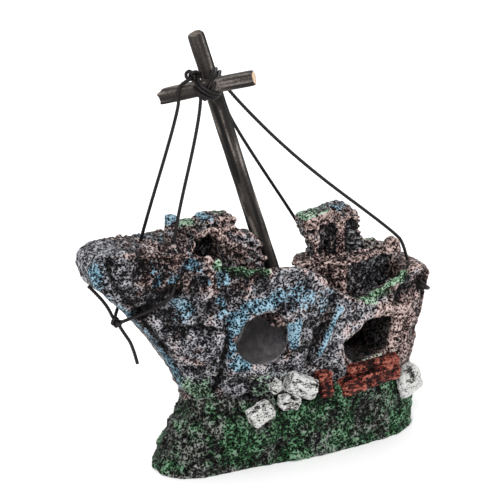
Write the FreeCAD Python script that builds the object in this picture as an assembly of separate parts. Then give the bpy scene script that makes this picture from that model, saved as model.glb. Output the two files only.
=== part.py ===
import FreeCAD, Part
import math
import os

# Sunken fishing boat: a cast resin aquarium ornament with a stick mast, waxed cord
# rigging and an air stone in its hold.  Millimetres.  X runs from the bow (-) to the
# stern (+), Y from the near side (-) to the far side (+), Z up from the tank floor.

Vec = FreeCAD.Vector

# ---- driving dimensions ----------------------------------------------------------
hull_low, hull_high = 20.0, 92.0     # heights at which the hull's stations are measured
wall = 3.2                           # thickness of the hull's sides
hold_floor = 26.0                    # floor of the hollow hold
base_top = 25.0                      # top of the rock under the hull
fore_deck_top, fore_deck_thick = 66.0, 4.0
main_deck_top, main_deck_thick = 53.0, 4.0
bulkhead_thick = 2.5
deck_step_x = 2.0                    # the fore deck ends here and the main deck begins
roof_under, roof_thick = 65.0, 1.8   # slab over the aft cabin

porthole_x, porthole_z, porthole_radius = -5.0, 46.4, 9.9
far_hole_x, far_hole_z, far_hole_radius = -5.0, 40.2, 8.6
port_recess_x, port_recess_z, port_recess_radius = -26.8, 59.6, 3.7

mast_radius, yard_radius = 2.75, 2.6   # the mast's is at its head
mast_foot_radius = 3.05
mast_foot = Vec(10.45, 0, 50.2)      # bottom of the mast, in its socket in the main deck
mast_head = Vec(-21.6, 0, 148.2)
yard_height = 132.1                  # height on the mast at which the yard crosses it
yard_left, yard_right = 17.0, 15.6   # lengths of the yard each side of the crossing
yard_swing = 35.6                    # degrees from fore-and-aft, right end to the near side

cord_radius = 0.55
hole_radius = 0.85                   # hole that a cord runs through in the resin
knot_ring_radius, knot_ring_thick, knot_heart_radius = 1.25, 0.75, 1.35
lashing_loop_radius = 1.8

air_x, air_z = 19.0, 9.0             # where the airline enters the rock
nipple_radius, nipple_bore, nipple_length = 2.3, 1.1, 8.0
nipple_root = 6.0                    # length of the nipple inside the rock
flange_radius, flange_thick = 3.6, 1.5
flange_clearance = 0.4               # round the flange, in its counterbore in the rock
tube_radius, tube_bore = 2.3, 1.1
stone_radius, stone_length, stone_foot_z = 4.5, 11.0, 29.0

parts = {}


# ---- helpers -----------------------------------------------------------------------
def spline(points, closed=False):
    curve = Part.BSplineCurve()
    curve.interpolate([Vec(*p) for p in points], PeriodicFlag=closed)
    return curve.toShape()


def side_plate(outline, y_from, y_to):
    """A plate with an outline of (x, z) points, between two values of y."""
    points = [Vec(x, y_from, z) for x, z in outline]
    face = Part.Face(Part.makePolygon(points + points[:1]))
    return face.extrude(Vec(0, y_to - y_from, 0))


def plan_plate(outline, z_from, z_to):
    """A plate with an outline of (x, y) points, between two heights."""
    points = [Vec(x, y, z_from) for x, y in outline]
    face = Part.Face(Part.makePolygon(points + points[:1]))
    return face.extrude(Vec(0, 0, z_to - z_from))


def box(x_from, x_to, y_from, y_to, z_from, z_to):
    corner = Vec(x_from, y_from, z_from)
    return Part.makeBox(x_to - x_from, y_to - y_from, z_to - z_from, corner)


def rod(start, end, radius):
    return Part.makeCylinder(radius, (end - start).Length, start, end - start)


def cord_wire(points):
    """Straight runs joined by tangent arcs, each as large as its two runs allow."""
    edges = []
    here = points[0]
    radii = []
    for before, corner, after in zip(points, points[1:], points[2:]):
        back, ahead = before - corner, after - corner
        half_turn = (math.pi - back.getAngle(ahead)) / 2
        reach = 0.45 * min(back.Length, ahead.Length)
        radii.append(reach / math.tan(half_turn))
        back.normalize()
        ahead.normalize()
        bisector = back + ahead
        bisector.normalize()
        centre = corner + bisector * (reach / math.sin(half_turn))
        start, end = corner + back * reach, corner + ahead * reach
        middle = centre - bisector * radii[-1]
        edges.append(Part.LineSegment(here, start).toShape())
        edges.append(Part.Arc(start, middle, end).toShape())
        here = end
    edges.append(Part.LineSegment(here, points[-1]).toShape())
    return Part.Wire(edges), radii


def cord(points, radius=cord_radius, name=None):
    points = [Vec(*p) for p in points]
    wire, radii = cord_wire(points)
    ring = Part.Wire(Part.Circle(points[0], points[1] - points[0], radius).toShape())
    tube = wire.makePipeShell([ring], True, False)
    if name:
        section = math.pi * radius ** 2
        print(name, "length %.1f" % wire.Length,
              "volume ratio %.4f" % (tube.Volume / (section * wire.Length)),
              "radii", ["%.1f" % r for r in radii])
    return tube


# ---- hull --------------------------------------------------------------------------
# Raked stations from the stem to the stern: x at the low height, x at the high height,
# half beam low and half beam high.
stations = [
    (-25.5, -78.0, 1.5, 5.0),
    (-22.5, -64.0, 4.2, 8.6),
    (-17.0, -54.0, 9.0, 11.0),
    (-9.0, -42.0, 13.0, 14.0),
    (2.0, -24.0, 15.5, 18.0),
    (16.0, 0.0, 17.0, 21.3),
    (28.0, 24.0, 17.5, 21.6),
    (40.0, 42.0, 16.5, 19.6),
    (50.0, 54.0, 14.5, 17.0),
    (57.0, 66.0, 11.5, 14.0),
]
hold_stations = [
    (-7.0, -34.0, 10.4, 12.4),
    (2.0, -24.0, 12.3, 14.8),
    (16.0, 0.0, 13.8, 18.1),
    (28.0, 24.0, 14.3, 18.4),
    (40.0, 42.0, 13.3, 16.4),
    (48.5, 51.0, 11.8, 14.4),
]


def station_wire(x_low, x_high, half_low, half_high):
    """One raked cross-section: a flat bottom, round bilges and gently bowed sides."""
    def at(y, t):
        x = x_low + (x_high - x_low) * t
        return (x, y, hull_low + (hull_high - hull_low) * t)
    bilge = half_low * 0.86
    waist = half_low + (half_high - half_low) * 0.55
    side = [(half_high, 1.0), (waist, 0.5), (half_low, 0.14), (bilge, 0.0)]
    near = spline([at(-y, t) for y, t in side])
    far = spline([at(y, t) for y, t in reversed(side)])
    bottom = Part.makeLine(Vec(*at(-bilge, 0)), Vec(*at(bilge, 0)))
    top = Part.makeLine(Vec(*at(half_high, 1)), Vec(*at(-half_high, 1)))
    return Part.Wire([near, bottom, far, top])


def side_profile():
    """The boat seen from the side: raked stem, blunt nose, sheer, transom."""
    stem = spline([(-25, 0, 20), (-30, 0, 31), (-38.8, 0, 46.5), (-47.4, 0, 57.4), (-56.6, 0, 67.5)])
    nose = spline([(-56.6, 0, 67.5), (-61.4, 0, 73), (-61.6, 0, 78), (-56, 0, 81.6)])
    sheer = spline([
        (-56, 0, 81.6), (-47, 0, 81.4), (-38, 0, 80.0), (-30, 0, 79.6), (-24, 0, 77.6),
        (-16, 0, 73.6), (-6, 0, 71.8), (5, 0, 70.8), (12, 0, 67.6), (18, 0, 62.6),
        (24, 0, 58), (30, 0, 55), (35, 0, 55.4), (41, 0, 57.8), (48, 0, 60.6),
        (54.5, 0, 61.6), (60.4, 0, 59.6)])
    transom = spline([
        (60.4, 0, 59.6), (61.9, 0, 55), (60.2, 0, 48), (58, 0, 40), (56.2, 0, 30), (54, 0, 20)])
    keel = Part.makeLine(Vec(54, 0, 20), Vec(-25, 0, 20))
    face = Part.Face(Part.Wire([stem, nose, sheer, transom, keel]))
    return face


def both_ways(face, reach):
    solid = face.extrude(Vec(0, 2 * reach, 0))
    solid.translate(Vec(0, -reach, 0))
    return solid


window_outline = [
    (24.3, 40.6), (30.9, 44.6), (36.0, 46.5), (45.4, 45.6), (44.4, 39.2),
    (42.8, 32.8), (36.4, 31.6), (28.0, 31.8), (23.8, 36.4)]
breach_outline = [
    (5.5, 80), (6.5, 70.5), (9.5, 63), (13.5, 56.5), (19, main_deck_top), (26, main_deck_top + 0.6),
    (31, 57.5), (33, 80)]

outer = Part.makeLoft([station_wire(*s) for s in stations], True, False)
outer = outer.common(both_ways(side_profile(), 30))
hold = Part.makeLoft([station_wire(*s) for s in hold_stations], True, False)
hold = hold.common(box(-70, 70, -40, 40, hold_floor, 100))

porthole = rod(Vec(porthole_x, -30, porthole_z), Vec(porthole_x, -8, porthole_z), porthole_radius)
far_hole = rod(Vec(far_hole_x, 8, far_hole_z), Vec(far_hole_x, 30, far_hole_z), far_hole_radius)
port_recess = rod(Vec(port_recess_x, -30, port_recess_z), Vec(port_recess_x, -13.6, port_recess_z),
                  port_recess_radius)
windows = side_plate(window_outline, -30, -8).fuse(side_plate(window_outline, 8, 30))
breach = side_plate(breach_outline, 8, 30)   # the far bulwark is broken down to the deck

# ---- spars ---------------------------------------------------------------------------
mast_dir = mast_head - mast_foot
mast_dir.normalize()
crossing = mast_foot + mast_dir * ((yard_height - mast_foot.z) / mast_dir.z)
swing = math.radians(yard_swing)
level = Vec(math.cos(swing), -math.sin(swing), 0)
yard_dir = level - mast_dir * level.dot(mast_dir)   # square to the mast
yard_dir.normalize()
front_dir = yard_dir.cross(mast_dir)                # from the mast towards the yard
rise = (crossing - mast_foot).Length / (mast_head - mast_foot).Length
crossing_radius = mast_foot_radius + (mast_radius - mast_foot_radius) * rise
stick_gap = 0.01
yard_centre = crossing + front_dir * (crossing_radius + yard_radius + stick_gap)

mast_length = (mast_head - mast_foot).Length
mast = Part.makeCone(mast_foot_radius, mast_radius, mast_length, mast_foot, mast_dir)
yard = rod(yard_centre - yard_dir * yard_left, yard_centre + yard_dir * yard_right, yard_radius)
parts["mast"] = mast
parts["yard"] = yard


def rigging_point(along, up, front):
    """A place near the crossing, in the yard's, mast's and front directions."""
    return tuple(yard_centre + yard_dir * along + mast_dir * up + front_dir * front)


turn_slack = 0.15                    # between a turn of cord and the sticks
turn_spread = 0.64                   # an outer turn is wider by this share of its offset


def lashing_turn(slope, offset, lift):
    """One closed turn of cord round both sticks, slanting up or down to the right."""
    diagonal = math.sqrt(0.5)
    across = yard_dir * diagonal - mast_dir * (diagonal * slope)
    centre = (crossing + yard_centre) * 0.5 + across * offset
    radius = crossing_radius + yard_radius + cord_radius + turn_slack + lift + turn_spread * abs(offset)
    return Part.makeTorus(radius, cord_radius, centre, across)


cord_gap = 0.1
turn_gap = 2 * cord_radius + cord_gap
offsets = (-turn_gap, 0, turn_gap)
rising_turns = Part.makeCompound([lashing_turn(1, gap, 0) for gap in offsets])
falling_turns = Part.makeCompound([lashing_turn(-1, gap, turn_gap + 0.2) for gap in offsets])
parts["lashing_rising_turns"] = rising_turns
parts["lashing_falling_turns"] = falling_turns.cut(rising_turns)   # pressed into them

# ---- cords ---------------------------------------------------------------------------
over_yard = yard_radius + cord_radius + cord_gap
behind_mast = -(2 * mast_radius + yard_radius + cord_radius + cord_gap)
knot_centre = Vec(-51.1, 0.0, 55.4)

near_forestay_points = [
    rigging_point(-2.8, -2.6, over_yard + 1.2),
    rigging_point(-2.9, -5.2, 3.0),
    (-32.2, -5.1, 81.6), (-33.4, -7.8, 73.6), (-37.0, -14.6, 67.0),
    (-42.2, -10.2, 62.0), (-48.4, -4.0, 57.4), (-50.9, -0.6, 55.2),
    (-49.0, -1.2, 51.6), (-46.4, -1.8, 47.2), (-44.7, -1.6, 40.2)]
far_forestay_points = [
    rigging_point(-7.0, over_yard + 0.2, -0.6),
    rigging_point(-8.9, 3.1, 2.9),
    rigging_point(-10.3, -1.6, 3.5),
    (-40.2, 5.0, 80.7), (-39.0, 8.6, 73.6), (-37.6, 14.6, 67.0),
    (-42.6, 10.4, 62.2), (-48.8, 4.2, 58.6), (-51.6, 0.6, 55.8),
    (-54.0, -0.8, 61.0), (-57.2, -1.2, 65.8), (-61.0, -1.4, 70.2)]
backstay_points = [
    rigging_point(7.4, 0.6, -over_yard),
    rigging_point(7.8, -3.3, -2.7),
    (14.2, -5.8, 100.6), (50.6, -8.2, 71.6), (53.4, -8.2, 67.2), (55.4, -8.2, 60.6),
    (56.2, -11.4, 57.4), (57.0, -16.4, 54.4), (61.9, -13.2, 51.0), (62.3, -4.6, 48.8),
    (62.2, 5.0, 48.4), (60.0, 14.6, 48.6), (50.0, 18.8, 49.6), (39.6, 21.4, 50.6),
    (35.2, 20.0, 54.0), (33.4, 18.4, 61.4), (-5.6, 6.6, 115.2),
    rigging_point(1.2, -9.4, behind_mast - 0.9), rigging_point(0.5, -6.8, behind_mast)]

parts["near_forestay"] = cord(near_forestay_points, name="near_forestay")
parts["far_forestay"] = cord(far_forestay_points, name="far_forestay")
parts["backstay"] = cord(backstay_points, name="backstay")


def bow_knot():
    """A tight overhand knot: two short fat turns crossing round both cords."""
    turns = []
    for tilt in (-1, 1):
        normal = Vec(0.75 * tilt, 0.35, 0.6)
        turns.append(Part.makeTorus(knot_ring_radius, knot_ring_thick, knot_centre, normal))
    heart = Part.makeSphere(knot_heart_radius, knot_centre)
    return turns[0].fuse(turns[1]).fuse(heart)


def channels():
    """The holes and grooves that the cords run through in the resin."""
    tunnels = cord(near_forestay_points, hole_radius)
    for points in (far_forestay_points, backstay_points):
        tunnels = tunnels.fuse(cord(points, hole_radius))
    return tunnels


cord_channels = channels()

# ---- hull, decks and rock --------------------------------------------------------------
hull = outer.cut(hold).cut(porthole).cut(far_hole).cut(windows).cut(port_recess).cut(breach)
hull = hull.cut(cord_channels)
parts["hull_shell"] = hull

main_deck = hold.common(box(deck_step_x, 60, -30, 30, main_deck_top - main_deck_thick, main_deck_top))
parts["main_deck"] = main_deck.cut(mast).cut(cord_channels)
parts["fore_deck"] = hold.common(
    box(-60, deck_step_x, -30, 30, fore_deck_top - fore_deck_thick, fore_deck_top))
parts["deck_bulkhead"] = hold.common(
    box(deck_step_x - bulkhead_thick, deck_step_x, -30, 30, main_deck_top - main_deck_thick,
        fore_deck_top - fore_deck_thick))

rock_levels = [
    (0.0, [(-39.4, 0), (-38.8, -6.4), (-35.8, -11.0), (-28.4, -14.6), (-10, -16.2), (7, -18.2),
           (30, -18.8), (45, -17.4), (54.5, -13.6), (59.6, -7.0), (61.0, 0)]),
    (9.0, [(-35.6, 0), (-34.4, -6.6), (-31.0, -12.0), (-25, -15.8), (-10, -17.8), (7, -19.2),
           (30, -19.6), (44, -18.0), (54.0, -14.2), (57.6, -8), (58.6, 0)]),
    (18.0, [(-30.8, 0), (-29.8, -6.0), (-26.6, -11.0), (-22, -15.6), (-9, -18.4), (7, -20.2),
            (30, -20.6), (43, -18.6), (51, -14.6), (54.4, -8), (55.4, 0)]),
    (base_top, [(-27.6, 0), (-26.8, -4.2), (-23.6, -9.0), (-18, -13.6), (-8, -16.6), (7, -18.8),
                (30, -19.2), (41, -17.4), (48, -13.6), (51.6, -7.4), (52.6, 0)]),
]
far_bow_cut = 0.3                    # the far side of the rock's bow end is cut back by this share


def rock_wire(z, near_half):
    far_half = []
    for x, y in reversed(near_half[1:-1]):
        back = far_bow_cut * -y if x < -20 else 0.0
        far_half.append((x + back, -y))
    return Part.Wire(spline([(x, y, z) for x, y in near_half + far_half], closed=True))


rock = Part.makeLoft([rock_wire(*level) for level in rock_levels], True, False)
rock = rock.cut(outer)

# ---- air line: nipple, flange, tube and stone --------------------------------------------
flange_face = 21.2
inlet = Vec(air_x, flange_face, air_z)
out = Vec(0, 1, 0)
nipple_inside, nipple_tip = inlet - out * nipple_root, inlet + out * nipple_length
nipple = rod(nipple_inside, nipple_tip, nipple_radius)
nipple = nipple.fuse(rod(inlet - out * flange_thick, inlet, flange_radius))
tube_route = [
    (air_x, flange_face - nipple_root, air_z), (air_x, 0, air_z), (air_x, 0, stone_foot_z)]
pipe = cord(tube_route, tube_radius)
bore = cord(tube_route, tube_bore)
parts["air_inlet_nipple"] = nipple.cut(rod(nipple_inside, nipple_tip, nipple_bore))
parts["air_tube"] = pipe.cut(bore)
stone_foot = Vec(air_x, 0, stone_foot_z)
parts["air_stone"] = rod(stone_foot, stone_foot + Vec(0, 0, stone_length), stone_radius)

counterbore = rod(inlet - out * flange_thick, nipple_tip, flange_radius + flange_clearance)
rock = rock.cut(rod(nipple_inside, nipple_tip, nipple_radius)).cut(counterbore).cut(pipe)
parts["rock_base"] = rock
parts["hull_shell"] = hull.cut(pipe)

# ---- fore cabin ruin -----------------------------------------------------------------
cave_x, cave_z, cave_radius = -22.2, 78.4, 4.9
cave_back = 1.0                      # y of the cave's end wall
cave_widening = 1.6                  # the cave's foot reaches this much further aft
cave_left, cave_right = cave_x - cave_radius, cave_x + cave_radius
cave_foot_outline = [
    (cave_left, 72.0), (cave_left, cave_z), (cave_right, cave_z), (cave_right + cave_widening, 74.0),
    (cave_right + cave_widening, 72.0)]
cave = rod(Vec(cave_x, -20, cave_z), Vec(cave_x, cave_back, cave_z), cave_radius)
cave = cave.fuse(side_plate(cave_foot_outline, -20, cave_back))
cabin_outline = [
    (-28.6, fore_deck_top), (-28.2, 80.0), (-25.6, 84.0), (-22.0, 85.2), (-11.4, 84.2), (-10.2, 82.4),
    (-5.6, 81.4), (-2.8, 77.4), (-1.2, 71.0), (-0.6, fore_deck_top)]
crown_outline = [
    (-24.2, 83.0), (-22.8, 85.8), (-20.2, 87.4), (-14.0, 87.4), (-10.8, 86.2), (-10.4, 82.8)]
broken_corner = box(-10.4, 5, -3.8, 10, 76.0, 90)   # the step's far half has fallen away
fore_cabin = side_plate(cabin_outline, -9.2, 3.2).cut(broken_corner)
fore_cabin = fore_cabin.fuse(side_plate(crown_outline, -6.6, 2.4))
fore_cabin = fore_cabin.cut(cave).cut(mast).cut(parts["hull_shell"])
parts["fore_cabin_ruin"] = fore_cabin.removeSplitter()
parts["fore_cabin_wall"] = side_plate(
    [(-30.6, fore_deck_top), (-30.6, 86.4), (-23.0, 86.2), (-23.6, 84.2), (-25.6, 83.6), (-28.2, 80.0),
     (-28.6, fore_deck_top)], -2.6, 2.4).cut(outer).cut(parts["fore_cabin_ruin"])
pillar = rod(Vec(-32.4, -1.6, 77.0), Vec(-31.7, -1.6, 89.4), 1.9)
parts["fore_cabin_pillar"] = pillar.cut(outer).cut(parts["fore_cabin_wall"])

# ---- aft cabin, tower, stairs, bollard -----------------------------------------------------
roof_top = roof_under + roof_thick
cabin_plan = [(14.6, -3.4), (20.4, -7.4), (27.8, -11.2), (46.0, -6.6), (49.0, -6.2), (49.0, 4.5),
              (18.4, 4.5)]
parts["aft_cabin"] = plan_plate(cabin_plan, main_deck_top, roof_under)
roof_plan = [(12.0, -3.6), (20.0, -8.6), (28.2, -12.2), (46.4, -7.4), (46.4, 3.2), (17.4, 3.2)]
parts["aft_cabin_roof"] = plan_plate(roof_plan, roof_under, roof_top)

tower_outline = [
    (18.0, roof_top), (19.4, 68.8), (18.8, 73.0), (15.8, 75.8), (15.0, 79.4), (36.4, 80.0),
    (37.4, 76.5), (37.6, 73.4), (39.0, 70.6), (40.4, roof_top)]
tower = side_plate(tower_outline, -7.0, -0.4)
left_bay = box(20.6, 27.6, -8, -5.4, roof_top + 0.6, 79.0)
right_bay = box(30.8, 42, -8, -4.6, roof_top + 0.6, 79.4)
lookout = box(23.2, 26.2, -8, -2.6, 67.9, 72.8)
tower = tower.cut(left_bay).cut(right_bay).cut(lookout)
parts["lookout_tower"] = tower
parts["tower_cap"] = side_plate(
    [(15.0, 79.4), (14.4, 81.6), (16.0, 82.4), (20.4, 83.2), (27.5, 84.4), (31.5, 84.3), (34.2, 82.4),
     (36.2, 79.9)], -7.6, -0.4).cut(tower)

# Steps on the slab: back edge, front edge and top of each.
stair_levels = [(0.0, -2.0, 68.6), (-2.0, -4.0, 68.0), (-4.0, -6.0, 67.4)]
stair_from, stair_to = 38.0, 46.0
steps = [box(stair_from, stair_to, y_front, y_back, roof_top, top) for y_back, y_front, top in stair_levels]
stairs = steps[0].fuse(steps[1:])
parts["stair_block"] = stairs.removeSplitter().cut(tower)
bollard = side_plate(
    [(46.6, roof_under), (46.6, 67.6), (47.8, 69.8), (50.4, 70.1), (52.0, 68.2), (52.3, 65.4),
     (51.2, 62.6), (51.6, 58.6), (49.0, 58.6), (49.0, roof_under)], -9.0, -5.0)
parts["stern_bollard"] = bollard.cut(outer).cut(parts["backstay"])


# ---- wreckage on the rock ---------------------------------------------------------------
def lump(centre, size, lean=0.0, turn=0.0, corner=1.0):
    """A worn block: rounded corners, leaned in the side view, then turned in plan."""
    length, depth, height = size
    block = Part.makeBox(length, depth, height, Vec(-length / 2, -depth / 2, -height / 2))
    block = block.makeFillet(corner, block.Edges)
    block.rotate(Vec(0, 0, 0), Vec(0, 1, 0), -lean)
    block.rotate(Vec(0, 0, 0), Vec(0, 0, 1), turn)
    block.translate(Vec(*centre))
    return block


drum = rod(Vec(2.0, -19.2, 31.2), Vec(11.6, -20.4, 26.2), 3.9)
drum = drum.makeFillet(0.9, [e for e in drum.Edges if e.Curve.TypeId == "Part::GeomCircle"])
wreckage = [
    ("white_column_drum", drum),
    ("white_stone_large", lump((-8.4, -19.8, 21.6), (8.6, 5.0, 6.2), 24, 0, 1.6)),
    ("white_stone_small", lump((2.0, -20.4, 24.0), (7.4, 5.0, 5.0), -12, 0, 1.6)),
    ("white_chip", lump((-1.4, -17.2, 29.0), (3.6, 4.0, 3.4), 20, 0, 0.9)),
    ("red_post_stub", lump((15.9, -19.6, 27.2), (4.6, 4.4, 9.0), 6, 0, 0.8)),
    ("red_sill_plank", lump((35.4, -18.9, 30.6), (19.5, 4.2, 2.6), 3, 2, 0.5)),
    ("red_beam", lump((33.6, -19.9, 25.8), (22.5, 5.0, 5.6), 7, 2, 0.8)),
    ("stern_boulder", lump((51.6, -14.4, 19.2), (10.4, 8.4, 9.6), 18, 12, 2.2)),
]
solid_so_far = outer.fuse(rock)
for name, piece in wreckage:
    piece = piece.cut(solid_so_far)
    parts[name] = piece
    solid_so_far = solid_so_far.fuse(piece)

# ---- knots --------------------------------------------------------------------------------
knot = bow_knot()
for path in ("near_forestay", "far_forestay"):
    knot = knot.cut(parts[path])
parts["bow_knot"] = knot.cut(outer)
knot_place = Vec(*rigging_point(-5.0, 5.0, -1.4))
loop = Part.makeTorus(lashing_loop_radius, cord_radius, knot_place, front_dir)
loop = loop.cut(mast).cut(yard).cut(rising_turns)
parts["lashing_knot"] = loop.cut(parts["lashing_falling_turns"])

os.makedirs("parts", exist_ok=True)
low = Vec(1e9, 1e9, 1e9)
high = Vec(-1e9, -1e9, -1e9)
for name, shape in parts.items():
    bounds = shape.BoundBox
    low = Vec(min(low.x, bounds.XMin), min(low.y, bounds.YMin), min(low.z, bounds.ZMin))
    high = Vec(max(high.x, bounds.XMax), max(high.y, bounds.YMax), max(high.z, bounds.ZMax))
    shape.exportStep("parts/" + name + ".step")
    print(name, "valid", shape.isValid(), "solids", len(shape.Solids), "volume %.1f" % shape.Volume)
print("box", low, high)
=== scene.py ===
import itertools
import math

import bpy
import numpy as np
from mathutils import Matrix, Vector


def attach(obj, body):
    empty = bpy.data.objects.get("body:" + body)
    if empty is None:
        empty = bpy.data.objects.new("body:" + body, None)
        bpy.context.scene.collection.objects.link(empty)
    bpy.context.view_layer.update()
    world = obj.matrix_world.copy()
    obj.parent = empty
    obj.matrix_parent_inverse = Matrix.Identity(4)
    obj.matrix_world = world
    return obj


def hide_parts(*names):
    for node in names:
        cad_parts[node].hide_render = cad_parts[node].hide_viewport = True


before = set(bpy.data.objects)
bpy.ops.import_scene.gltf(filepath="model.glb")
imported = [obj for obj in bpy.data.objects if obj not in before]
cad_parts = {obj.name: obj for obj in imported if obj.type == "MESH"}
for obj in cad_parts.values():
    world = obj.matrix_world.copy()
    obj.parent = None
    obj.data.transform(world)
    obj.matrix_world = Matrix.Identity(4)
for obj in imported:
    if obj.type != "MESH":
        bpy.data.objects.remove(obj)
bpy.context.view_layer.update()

# A cast resin wreck: every CAD node of resin is remeshed finely, sculpted with numpy
# (grooves, lumps, pits) and painted by masks; the spars and cords are built anew.
# All sculpting is in millimetres, in the row frame, and scaled to metres at the end.

MM = 0.001
collection = bpy.context.scene.collection


# ---- noise ---------------------------------------------------------------------------
def lattice(x, y, z, seed):
    """A repeatable random number from 0 to 1 for each whole-numbered cell."""
    h = (x * 73856093) ^ (y * 19349663) ^ (z * 83492791) ^ (seed * 40503 + 977)
    h = h & 0xFFFFFFFF
    h = ((h ^ (h >> 13)) * 1274126177) & 0xFFFFFFFF
    h = ((h ^ (h >> 15)) * 668265263) & 0xFFFFFFFF
    return ((h ^ (h >> 16)) & 0xFFFFFF) / float(0xFFFFFF)


def noise(p, size, seed=0):
    """Smooth noise from -1 to 1, with lumps about size across."""
    q = p / size
    cell = np.floor(q).astype(np.int64)
    f = q - cell
    f = f * f * (3 - 2 * f)
    total = np.zeros(len(p))
    for dx, dy, dz in itertools.product((0, 1), repeat=3):
        weight = (f[:, 0] if dx else 1 - f[:, 0])
        weight = weight * (f[:, 1] if dy else 1 - f[:, 1])
        weight = weight * (f[:, 2] if dz else 1 - f[:, 2])
        total += weight * lattice(cell[:, 0] + dx, cell[:, 1] + dy, cell[:, 2] + dz, seed)
    return total * 2 - 1


def layered(p, size, seed=0, layers=3):
    """Noise with finer noise on it."""
    total = np.zeros(len(p))
    for i in range(layers):
        total += noise(p, size / 2 ** i, seed + 17 * i) / 2 ** i
    return total / (2 - 2.0 ** (1 - layers))


def cells(p, size, seed=0):
    """Distances to the nearest and second nearest scattered points, in sizes, and the nearest one's number."""
    q = p / size
    cell = np.floor(q).astype(np.int64)
    nearest = np.full(len(p), 9.0)
    second = np.full(len(p), 9.0)
    tag = np.zeros(len(p))
    for step in itertools.product((-1, 0, 1), repeat=3):
        c = cell + np.array(step)
        x, y, z = c[:, 0], c[:, 1], c[:, 2]
        place = np.stack([lattice(x, y, z, seed + k) for k in range(3)], axis=1)
        d = np.linalg.norm(c + place - q, axis=1)
        closer = d < nearest
        second = np.where(closer, nearest, np.minimum(second, d))
        tag = np.where(closer, lattice(x, y, z, seed + 3), tag)
        nearest = np.where(closer, d, nearest)
    return nearest, second, tag


def smooth(low, high, value):
    t = np.clip((value - low) / (high - low), 0, 1)
    return t * t * (3 - 2 * t)


def blob(p, centre, radii):
    """1 at a place, falling to 0 at an ellipsoid round it."""
    d = np.linalg.norm((p - np.array(centre)) / np.array(radii), axis=1)
    return 1 - smooth(0.35, 1.0, d)


def distance_to_line(p, points):
    """Distance to a line through points, and how far along it the nearest place is, from 0 to 1."""
    points = [np.array(q, float) for q in points]
    lengths = [np.linalg.norm(b - a) for a, b in zip(points, points[1:])]
    total = sum(lengths)
    best = np.full(len(p), 1e9)
    along = np.zeros(len(p))
    done = 0.0
    for a, b, length in zip(points, points[1:], lengths):
        t = np.clip((p - a) @ (b - a) / length ** 2, 0, 1)
        d = np.linalg.norm(p - a - t[:, None] * (b - a), axis=1)
        closer = d < best
        best = np.where(closer, d, best)
        along = np.where(closer, (done + t * length) / total, along)
        done += length
    return best, along


def line_band(p, points, width):
    """1 on a line through points, falling to 0 at width from it."""
    distance, _ = distance_to_line(p, points)
    return 1 - smooth(0.25, 1.0, distance / width)


# ---- meshes --------------------------------------------------------------------------
def object_of(mesh, name):
    obj = bpy.data.objects.new(name, mesh)
    collection.objects.link(obj)
    return obj


def final_mesh(obj):
    """The mesh of an object with its modifiers, and the object gone."""
    graph = bpy.context.evaluated_depsgraph_get()
    mesh = bpy.data.meshes.new_from_object(obj.evaluated_get(graph))
    bpy.data.objects.remove(obj)
    return mesh


def points_of(mesh):
    co = np.zeros(len(mesh.vertices) * 3)
    mesh.vertices.foreach_get("co", co)
    return co.reshape(-1, 3)


def fine_mesh(node, voxel):
    """A fine even mesh of a CAD node, in millimetres."""
    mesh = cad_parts[node].data.copy()
    mesh.materials.clear()
    mesh.transform(Matrix.Scale(1 / MM, 4))
    obj = object_of(mesh, "work")
    remesh = obj.modifiers.new("remesh", "REMESH")
    remesh.mode = "VOXEL"
    remesh.voxel_size = voxel
    return final_mesh(obj)


def relax(p, edges, times):
    """Rounds edges off: each point moves towards the middle of its neighbours."""
    count = np.bincount(edges.ravel(), minlength=len(p))[:, None]
    for _ in range(times):
        total = np.zeros_like(p)
        for axis in range(3):
            total[:, axis] += np.bincount(edges[:, 0], p[edges[:, 1], axis], len(p))
            total[:, axis] += np.bincount(edges[:, 1], p[edges[:, 0], axis], len(p))
        p = p + 0.6 * (total / count - p)
    return p


def normals_of(mesh):
    mesh.update()
    n = np.zeros(len(mesh.vertices) * 3, np.float32)
    mesh.vertex_normals.foreach_get("vector", n)
    return n.reshape(-1, 3).astype(float)


def set_points(mesh, p):
    mesh.vertices.foreach_set("co", p.astype(np.float32).ravel())
    mesh.update()


def set_mask(mesh, name, values):
    attribute = mesh.attributes.new(name, "FLOAT", "POINT")
    attribute.data.foreach_set("value", np.clip(values, 0, 1).astype(np.float32))


# The fifth mask holds near-black dark wash together with painted shade in grooves, holes, openings and the hold.
MASKS = ("height", "blue", "moss", "warm", "dark_wash_and_shade", "grey")


def sculpt(node, voxel, rounding, shape, paint, material, slot, grow=0.15):
    """Replaces a CAD node with a finely sculpted and painted copy of it."""
    mesh = fine_mesh(node, voxel)
    edges = np.zeros(len(mesh.edges) * 2, np.int32)
    mesh.edges.foreach_get("vertices", edges)
    edges = edges.reshape(-1, 2)
    p = relax(points_of(mesh), edges, rounding)
    set_points(mesh, p)
    n = normals_of(mesh)
    reach = int(2.0 / voxel ** 2)
    edge = np.clip(np.sum((p - relax(p, edges, reach)) * n, axis=1) / 0.2, -1, 1)
    offset, height = shape(p, n)
    set_points(mesh, p + n * (offset + grow)[:, None])
    masks = {name: np.zeros(len(p)) for name in MASKS}
    masks.update(paint(p, n))
    # Convex edges gain height and pink as dry-brushed paint; concave corners lose height, which darkens them as
    # painted shade.
    masks["height"] = height + 0.22 * edge
    masks["warm"] = masks["warm"] + 0.4 * np.maximum(edge, 0)
    for name, values in masks.items():
        set_mask(mesh, name, values)
    p = points_of(mesh)
    p[:, 2] = np.maximum(p[:, 2], 0.02)
    set_points(mesh, p * MM)
    mesh.shade_smooth()
    mesh.materials.append(material)
    obj = object_of(mesh, node + "_sculpt")
    finish_piece(obj, slot, node)
    return obj


def finish_piece(obj, slot, *nodes):
    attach(obj, "root")
    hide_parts(*nodes)


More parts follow.
